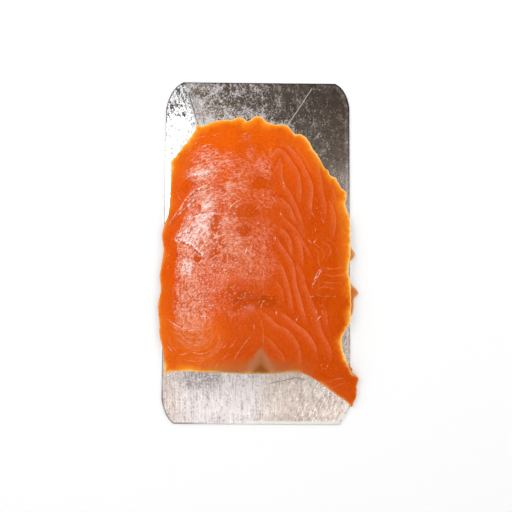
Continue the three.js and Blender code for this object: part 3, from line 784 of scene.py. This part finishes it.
# The wet folds and nicks: the name, the side that catches the light (1 upper or left, -1 lower or
# right), its strength, its width where that isn't the usual 0.75, and its points in millimetres,
# from the left or from below.
FOLDS = [
    ("fold_outer", 1, 1.0, 1.2,
     [(-65.8, 19.0), (-61.8, 24.7), (-57.5, 30.2), (-52.7, 37.9), (-46.4, 43.7), (-40.4, 46.4)]),
    ("fold_inner", 1, 0.8, 1.3, [(-60.7, 23.9), (-56.3, 28.1), (-52.6, 30.8), (-48.5, 34.9), (-45.2, 38.8)]),
    ("back_ridge", 1, 0.35, 2.2, [(-54.4, 54.6), (-46.9, 55.4), (-40.2, 57.0), (-33.5, 58.9)]),
    ("back_glint", 1, 1.0, 0.9, [(-41.6, 77.5), (-38.2, 78.5), (-34.5, 78.9)]),
    ("back_dash_1", 1, 0.7, [(-45.1, 84.4), (-42.8, 85.5), (-39.8, 85.6)]),
    ("back_dash_2", 1, 0.8, [(-34.2, 85.6), (-30.4, 88.0)]),
    ("back_dash_3", 1, 0.5, [(-48.7, 79.0), (-45.8, 81.3)]),
    ("back_dash_4", 1, 0.4, [(-52.4, 74.0), (-49.5, 76.7)]),
    ("back_dash_5", 1, 0.5, [(-46.4, 73.7), (-41.9, 76.0)]),
    ("top_dash", 1, 0.9, [(-10.1, 87.4), (-6.7, 89.5)]),
    ("top_dash_2", 1, 0.4, [(-13.4, 82.0), (-8.9, 83.2)]),
    ("head_dash", 1, 0.5, [(-21.2, 72.5), (-18.2, 73.2)]),
    ("shelf", 1, 1.0, 2.0, [(-61.3, 7.0), (-54.1, 5.3), (-48.3, 2.3), (-40.1, -4.2)]),
    ("shelf_rise", 1, 0.5, 2.0, [(-60.4, 8.2), (-54.5, 11.9), (-47.9, 16.5)]),
    ("sheen_line", -1, 0.7, 1.5, [(-50.2, 23.6), (-44.3, 25.4), (-37.6, 26.2), (-32.4, 27.2), (-28.6, 26.8)]),
    ("pit_rim", -1, 1.0, 0.8, [(-45.7, -10.0), (-43.5, -10.2), (-41.3, -8.1)]),
    ("pit_dark", 1, 0.5, [(-35.0, -6.2), (-31.3, -3.2), (-28.0, -0.6)]),
    ("mid_fold_1", -1, 0.9, 0.9, [(-21.6, 30.3), (-17.5, 34.5), (-13.1, 37.5)]),
    ("mid_fold_2", -1, 0.5, [(-19.0, 28.4), (-15.3, 32.2), (-11.9, 34.5)]),
    ("mid_pocket", 1, 0.5, [(-28.7, 27.6), (-26.8, 31.7), (-26.5, 35.9)]),
    ("neck_dash_1", 1, 0.6, [(4.1, 39.9), (4.9, 43.7)]),
    ("neck_dash_2", -1, 0.5, [(12.8, 36.6), (10.5, 39.6)]),
    ("neck_dash_3", -1, 0.5, [(19.8, 46.1), (19.1, 51.1)]),
    ("neck_dash_4", -1, 0.8, [(17.7, 25.3), (16.9, 29.1)]),
    ("neck_dash_5", 1, 0.6, [(-1.4, 29.7), (1.6, 32.4)]),
    ("neck_dash_6", 1, 0.5, [(-0.6, 17.3), (2.7, 23.3)]),
    ("belly_dash_1", 1, 0.8, [(13.6, 7.3), (13.3, 9.9)]),
    ("belly_dash_2", 1, 0.4, [(24.5, -1.3), (24.1, 2.5)]),
    ("belly_dash_3", 1, 0.7, [(30.5, -10.9), (32.0, -10.2)]),
    ("belly_dash_4", -1, 1.0, [(42.0, 5.3), (43.5, 7.9)]),
    ("belly_dash_5", 1, 0.8, [(43.5, 13.9), (43.8, 16.2)]),
    ("belly_dash_6", 1, 0.4, [(40.5, 27.8), (42.3, 24.8)]),
    ("belly_dash_7", 1, 0.5, [(48.0, 23.3), (49.8, 19.6)]),
    ("belly_dash_8", 1, 0.7, [(39.4, -35.4), (41.7, -34.3)]),
    ("belly_dash_9", 1, 0.5, [(41.3, -39.8), (43.5, -44.6), (44.6, -47.6)]),
    ("belly_dash_10", -1, 1.0, [(44.6, -52.0), (46.9, -49.4)]),
    ("belly_dash_11", -1, 0.8, [(28.7, -53.2), (30.2, -50.3)]),
    ("belly_dash_12", -1, 0.9, [(13.9, -49.3), (14.6, -45.6)]),
    ("belly_dash_13", 1, 0.4, [(57.2, -35.3), (59.8, -33.4)]),
    ("belly_dash_14", 1, 0.5, [(37.9, 7.5), (40.1, 4.9)]),
    ("slit_left", 1, 1.3, 0.6, [(41.1, -28.3), (41.8, -24.5), (43.5, -20.1), (46.0, -16.0), (48.5, -12.8)]),
    ("slit_right", -1, 1.3, 0.6, [(41.6, -26.1), (43.4, -22.4), (45.7, -18.5), (48.6, -13.7)]),
    ("centre_dot", -1, 0.9, [(-16.1, 4.4), (-14.3, 6.3)]),
    ("centre_dot_2", -1, 0.6, [(-8.6, -3.0), (-7.9, 0.4)]),
    ("centre_dot_3", 1, 0.5, [(-7.8, -19.8), (-5.9, -17.9)]),
    ("arch_dash_1", 1, 0.8, [(-12.8, -38.0), (-11.0, -35.8), (-8.4, -34.6)]),
    ("arch_dash_2", 1, 0.9, [(-20.6, -35.1), (-19.1, -32.9)]),
    ("arch_dash_3", -1, 0.9, [(-18.0, -34.0), (-15.1, -32.1)]),
    ("arch_dash_4", 1, 0.6, [(-18.4, -30.6), (-15.9, -26.2)]),
    ("arch_dash_5", 1, 0.6, [(-9.4, -43.2), (-4.3, -41.3)]),
    ("arch_dash_6", 1, 0.6, [(-13.1, -45.8), (-9.8, -43.5)]),
    ("arch_dash_7", 1, 0.8, [(-5.0, -35.0), (-3.2, -34.2)]),
    ("arch_dash_8", 1, 1.0, [(0.9, -40.5), (2.8, -38.3)]),
    ("arch_dash_9", -1, 1.0, [(2.8, -43.1), (4.6, -38.6), (6.5, -38.1)]),
    ("arch_dash_10", 1, 0.6, [(7.2, -41.2), (9.1, -40.1)]),
    ("arch_dash_11", 1, 0.6, [(-32.1, -31.1), (-29.2, -28.1)]),
    ("arch_dash_12", 1, 0.4, [(-15.7, -40.6), (-12.8, -39.1)]),
    ("low_dash_1", 1, 0.5, [(-48.3, -36.1), (-44.3, -31.6)]),
    ("low_dash_2", 1, 0.5, [(-42.4, -39.7), (-39.1, -36.0)]),
    ("low_dash_3", 1, 0.8, [(-40.8, -50.4), (-37.1, -49.9), (-34.8, -51.8)]),
    ("low_dash_4", 1, 0.8, [(-58.7, -33.9), (-56.5, -32.4)]),
    ("low_dash_5", 1, 0.5, [(-1.9, -58.6), (-1.6, -54.5)]),
    ("low_dash_6", 1, 0.8, [(-50.2, -61.1), (-46.9, -60.0)]),
    ("back_dot_1", 1, 0.5, [(-66.9, -6.1), (-65.5, -4.2)]),
    ("back_dot_2", 1, 0.4, [(-66.4, -13.9), (-65.7, -12.1)]),
    ("back_line_1", -1, 0.25, [(-61.4, 47.3), (-59.4, 41.3)]),
    ("back_line_2", -1, 0.5, [(-59.4, 39.8), (-57.9, 37.1)]),
    ("ring_dark", -1, 0.9, 0.9, [(-65.8, -52.1), (-62.5, -54.5), (-58.7, -56.9), (-53.5, -58.7)]),
    ("tail_glint", 1, 0.6, 0.6,
     [(-57.7, -78.6), (-53.3, -77.7), (-48.1, -76.4), (-42.3, -77.6), (-36.4, -76.6), (-32.0, -74.6)]),
    ("tail_dash_1", 1, 0.6, [(-65.9, -72.3), (-62.5, -75.9)]),
    ("tail_fold_2", 1, 0.5, 0.6, [(-35.2, -83.0), (-29.7, -77.9), (-25.4, -74.0), (-21.0, -69.0)]),
    ("tail_fold_3", 1, 0.4, 0.6, [(-29.7, -86.6), (-25.3, -81.5), (-20.6, -77.7)]),
    ("tail_fold_4", 1, 0.5, 0.6, [(-19.9, -73.4), (-16.6, -69.7), (-14.8, -65.7)]),
    ("tail_fold_1", 1, 0.55, 0.55, [(-16.8, -84.7), (-14.3, -77.8), (-9.9, -71.5), (-4.5, -64.5)]),
    ("tail_fold_5", 1, 0.5, [(-6.1, -86.1), (-2.5, -80.6), (1.9, -75.5)]),
]


def line_fields(lines, at, usual_width=1):
    """For each place: how far beside the nearest line and how far from it, over its width, and
    that line's side and strength."""
    samples = []
    for name, side, strength, *width, points in lines:
        width = width[0] if width else usual_width
        curve, run = smooth_line(points)
        share = np.linspace(0, 1, len(curve))
        fade = step(share, -0.02, 0.12) * step(share, 1.02, 0.85)
        for p, d, f in zip(curve, run, fade):
            samples.append((*(p / 1000), *(d / (np.linalg.norm(d) + 1e-9)), side,
                            strength * (0.25 + 0.75 * f), width))
    samples = np.array(samples)
    nearest, distance = nearest_in(samples, at)
    x, y, along, up, side, strength, width = samples[nearest].T
    return (along * (at[:, 1] - y) - up * (at[:, 0] - x)) / width, distance / width, side, strength


top_slice = copy_of("top_slice", "smoked_top_slice")
rounded(top_slice)

middles = np.array([face.center for face in top_slice.data.polygons])
usual_fold = 0.75
fold_near = line_fields(FOLDS, middles, usual_fold)[1]
finer = [bool(near < 0.0020 and face.normal.z > 0.4)
         for face, near in zip(top_slice.data.polygons, fold_near)]
edit(top_slice, whole=False)
pick(top_slice, "polygons", lambda face: finer[face.index])
bpy.ops.mesh.subdivide(number_cuts=1)
leave_edit()

at = vertices_of(top_slice)
upward = step(vertices_of(top_slice, "normal")[:, 2], 0.3, 0.8)
inside = step(distance_to_rim(top_slice), 0.0, 0.004)
offset, distance, side, strength = line_fields(SEAMS, at)
offset = offset * np.where(side == 0, 1, -side)
sided = abs(side)
fold_offset, fold_distance, fold_side, fold_strength = line_fields(FOLDS, at, usual_fold)

# Each sided seam dips on one side and swells on the other; the others stand up a little. The
# folds have a lip with a furrow beside it, and fine ripples run all over.
flake_step, seam_ridge, lip_height, furrow_depth, ripple_height = 0.00012, 0.00016, 0.00018, 0.00012, 0.00005
raised = flake_step * sided * (falloff(offset + 0.0018, 0.0022) - falloff(offset - 0.0010, 0.0013))
raised += seam_ridge * strength * falloff(distance, 0.0010) * (1 - sided)
raised *= strength * falloff(distance, 0.005)
raised += lip_height * fold_strength * falloff(fold_distance, 0.0008)
furrow = falloff(fold_offset * fold_side + 0.0011, 0.0007) * falloff(fold_distance, 0.0016)
raised -= furrow_depth * fold_strength * furrow
raised += ripple_height * (0.6 * swell(at, 110, 160, 1.0) + 0.4 * swell(at, 300, 380, 5.0))
at[:, 2] += raised * upward * inside
set_vertices(top_slice, at)

mark_rim(top_slice)
mark(top_slice, "flake_offset", offset)

# The flesh's fine lines run in arches over the middle of the slice and in bowls near its tail.
sway = 0.003 * swell(at, 35, 35, 2.0)
mark(top_slice, "arches", np.hypot(at[:, 0] + 0.017, (at[:, 1] + 0.020) / 1.2) + sway)
mark(top_slice, "bowls", np.hypot(at[:, 0] + 0.046, np.minimum(at[:, 1] + 0.050, 0)) + sway)
mark(top_slice, "flake_edge", strength * falloff(distance, 0.0016))
mark(top_slice, "flake_band", strength * sided * falloff(distance, 0.0045))
mark(top_slice, "crease_offset", fold_offset * fold_side)
mark(top_slice, "crease_near", fold_strength * step(fold_distance, 0.0019, 0.0006) * inside)


def soft_patches(at, patches):
    """Soft oval patches laid over each other: middle and radii in millimetres, turn, amount."""
    clear = np.ones(len(at))
    for cx, cy, rx, ry, turn, amount in patches:
        c, s = math.cos(math.radians(turn)), math.sin(math.radians(turn))
        dx, dy = at[:, 0] * 1000 - cx, at[:, 1] * 1000 - cy
        reach = np.hypot((c * dx + s * dy) / rx, (c * dy - s * dx) / ry)
        clear *= 1 - amount * step(reach, 1.35, 0.25)
    return 1 - clear


# The painted sheen on the back side ends at a band of clear flesh along the rim.
sheen_edge = np.interp(
    at[:, 1] * 1000,
    [-52, -41, -30, -19, -9, -4, 0, 4, 8, 11, 15, 18.5, 22, 26, 30, 38, 45, 56, 64, 75, 81],
    [-61.5, -63, -63, -62.3, -61.9, -60.6, -60, -60.6, -61.9, -61.4, -59.6, -57.2, -55.4, -54, -52.5,
     -52.5, -51, -59, -57.5, -51.5, -43])
sheen_edge += 1.6 * swell(at, 60, 320, 4.0)
cleared = step(at[:, 0] * 1000 - sheen_edge, -0.3, 1.3)
mark(top_slice, "painted_sheen", inside * cleared * soft_patches(at, [
    (-37, 37, 8, 12, -10, 0.60), (-25, 40, 10, 9, 0, 0.34), (-14, 40, 13, 20, 0, 0.20),
    (-42, 51, 15, 7, 0, 0.26), (-23, 46, 6, 7, 0, 0.25), (-41, 72, 12, 9, 0, 0.18), (-16, 5, 12, 14, 0, 0.18),
    (4, 60, 7, 14, 0, 0.22), (-45, 13, 20, 11, 50, 0.70), (-53, -13, 8, 9, 0, 0.55),
    (-42, 58, 13, 6, 8, 0.60), (-46, 10, 18, 36, 0, 0.45), (-51, -37, 13, 26, 0, 0.30),
    (-34, -38, 22, 17, 0, 0.24), (-40, 63, 16, 14, 0, 0.20), (-27, 2, 14, 26, 0, 0.30),
    (-16, 46, 8, 6, 0, 0.22), (-20, 20, 7, 8, 0, 0.22), (-28, -15, 9, 9, 0, 0.15), (1, -11, 17, 22, 0, 0.34),
    (4, 15, 13, 14, 0, 0.24), (-22, 4, 20, 34, 0, 0.26), (-12, 60, 18, 18, 0, 0.24),
    (-30, 66, 16, 12, 0, 0.24), (-5, 74, 4, 7, 0, 0.24), (6, 38, 13, 12, 0, 0.24),
    (-13, -52, 13, 13, 0, 0.18), (-38, 24, 9, 3, 5, 0.55), (-52, 9, 9, 6, 35, 0.55),
    (-52, -13, 5, 9, 0, 0.40), (-36, 33, 7, 6, 20, 0.40), (-43, 56.5, 9, 2.5, 8, 0.50),
    (-51, 34, 17, 4.5, 47, 0.45), (-24, 22, 3, 6, -20, 0.35), (-42, -86, 26, 6, 0, 0.16),
    (-47, -60, 18, 18, 0, 0.34), (-50, -30, 15, 30, 0, 0.30), (-8, 85, 6, 5, 0, 0.22),
    (8, 62, 12, 16, 0, 0.12)]))
mark(top_slice, "shade", inside * soft_patches(at, [
    (-7, 29, 10, 5.5, 0, 0.6), (-10, 14, 6, 5, 0, 0.62), (4, -39, 14, 5, 0, 0.8), (-27, 31, 2.5, 5, 5, 0.7),
    (-44.4, -7.5, 3, 2.2, 0, 0.95), (-31, -2.5, 5, 2, 40, 0.9), (-60.5, -37, 2.2, 6, 0, 0.6),
    (-12, -42, 7, 3, 30, 0.6), (-32, 16, 3, 5, 0, 0.6), (4, 50, 9, 7, 0, 0.5), (-30, 23, 3.4, 4, 0, 0.6),
    (-43, 32, 1.6, 1.4, 0, 0.8), (48, -38, 8, 8, 0, 0.3), (-21, -7, 7, 4, 20, 0.45), (-53, 47, 6, 5, 40, 0.6),
    (-42.5, 5.5, 7, 2.2, -38, 0.30), (-20, -36, 12, 9, 20, 0.35), (-26, 45, 5, 5, 0, 0.35),
    (-13, 25, 4, 2, 0, 0.5), (14, 40, 10, 4, -20, 0.35)]))
# Hollows, where shade is painted.
mark(top_slice, "hollow_shade", inside * soft_patches(at, [
    (6, -38, 17, 5, -8, 0.8), (-12, -36, 9, 5, 30, 0.6), (3, -34, 5, 4, 0, 0.5), (-8, 14, 5, 4, 0, 0.3),
    (48, -34, 12, 12, 0, 0.3)]))
mark(top_slice, "crags", soft_patches(at, [
    (-31, 12, 6, 13, 0, 0.9), (-26, 2, 7, 9, 0, 0.9), (-32, -4, 8, 6, 0, 0.8), (-19, -30, 6, 5, 0, 0.8),
    (-10, -34, 8, 4, 20, 0.7), (-43, -9, 4, 4, 0, 0.9), (-50, -30, 8, 5, 0, 0.5), (-14, 18, 8, 8, 0, 0.6),
    (-20, 28, 5, 6, 0, 0.7)]))
mark(top_slice, "see_through", soft_patches(at, [
    (-44, -94, 44, 12, 0, 1.0), (-70, -60, 8, 40, 0, 0.5), (-58, 66, 10, 14, 0, 0.4),
    (-46, -66, 24, 22, 0, 0.75), (61, 36, 7, 24, -10, 0.6), (65, 0, 6, 34, 0, 0.6), (47, 62, 9, 16, 30, 0.5),
    (30, 80, 18, 7, -28, 0.4)]))
mark(top_slice, "glints", inside * soft_patches(at, [
    (-20, 10, 50, 60, 0, 0.35), (-6, -38, 18, 8, 0, 0.6), (44, 24, 8, 14, 0, 0.8), (10, 76, 20, 14, 0, 0.4),
    (-10, 86, 10, 8, 0, 0.7), (-45, 78, 14, 10, 0, 0.6), (46, -48, 8, 10, 0, 0.6), (50, -82, 7, 8, 0, 1.0),
    (-20, -30, 24, 12, 0, 0.6)]))
mark(top_slice, "wet", soft_patches(at, [
    (-42, 15, 18, 60, 0, 0.8), (-20, 0, 20, 40, 0, 0.35), (-4, -40, 16, 8, 0, 0.5)]))

# The brown fat about the lateral line, in millimetres: a wedge that opens towards the tail cut,
# a strip along the cut, two paler lines that part from the wedge's tip, and its dark core.
across, along = at[:, 0] * 1000, at[:, 1] * 1000
lateral_line = 3.4
beside = abs(across - lateral_line)
arm = np.interp(beside, [0, 1.5, 4, 8, 13, 25, 40], [-70.7, -75.9, -78.9, -81.9, -84.9, -87.5, -90])
wedge = step(along, arm + 1.0 + 0.35 * beside, arm - 2.6 - 0.32 * beside) * step(beside, 44, 26)
tail_strip = step(along, -83.5, -90.5) * step(across, -43, -33) * step(across, 36, 26) * 0.9
core = step(along, -82.2 - 1.1 * beside, -86.6 - 1.1 * beside)
mark(top_slice, "fat", np.maximum(wedge, tail_strip) * 0.9)
mark(top_slice, "fat_line", falloff(beside + 0.55 * (along + 74.0), 2.3) * step(along, -71, -76) * 0.42)
mark(top_slice, "fat_core", core * 0.95)

top_slice.data.materials.append(flesh("smoked_flesh", False))
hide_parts("top_slice")
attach(top_slice, "root")
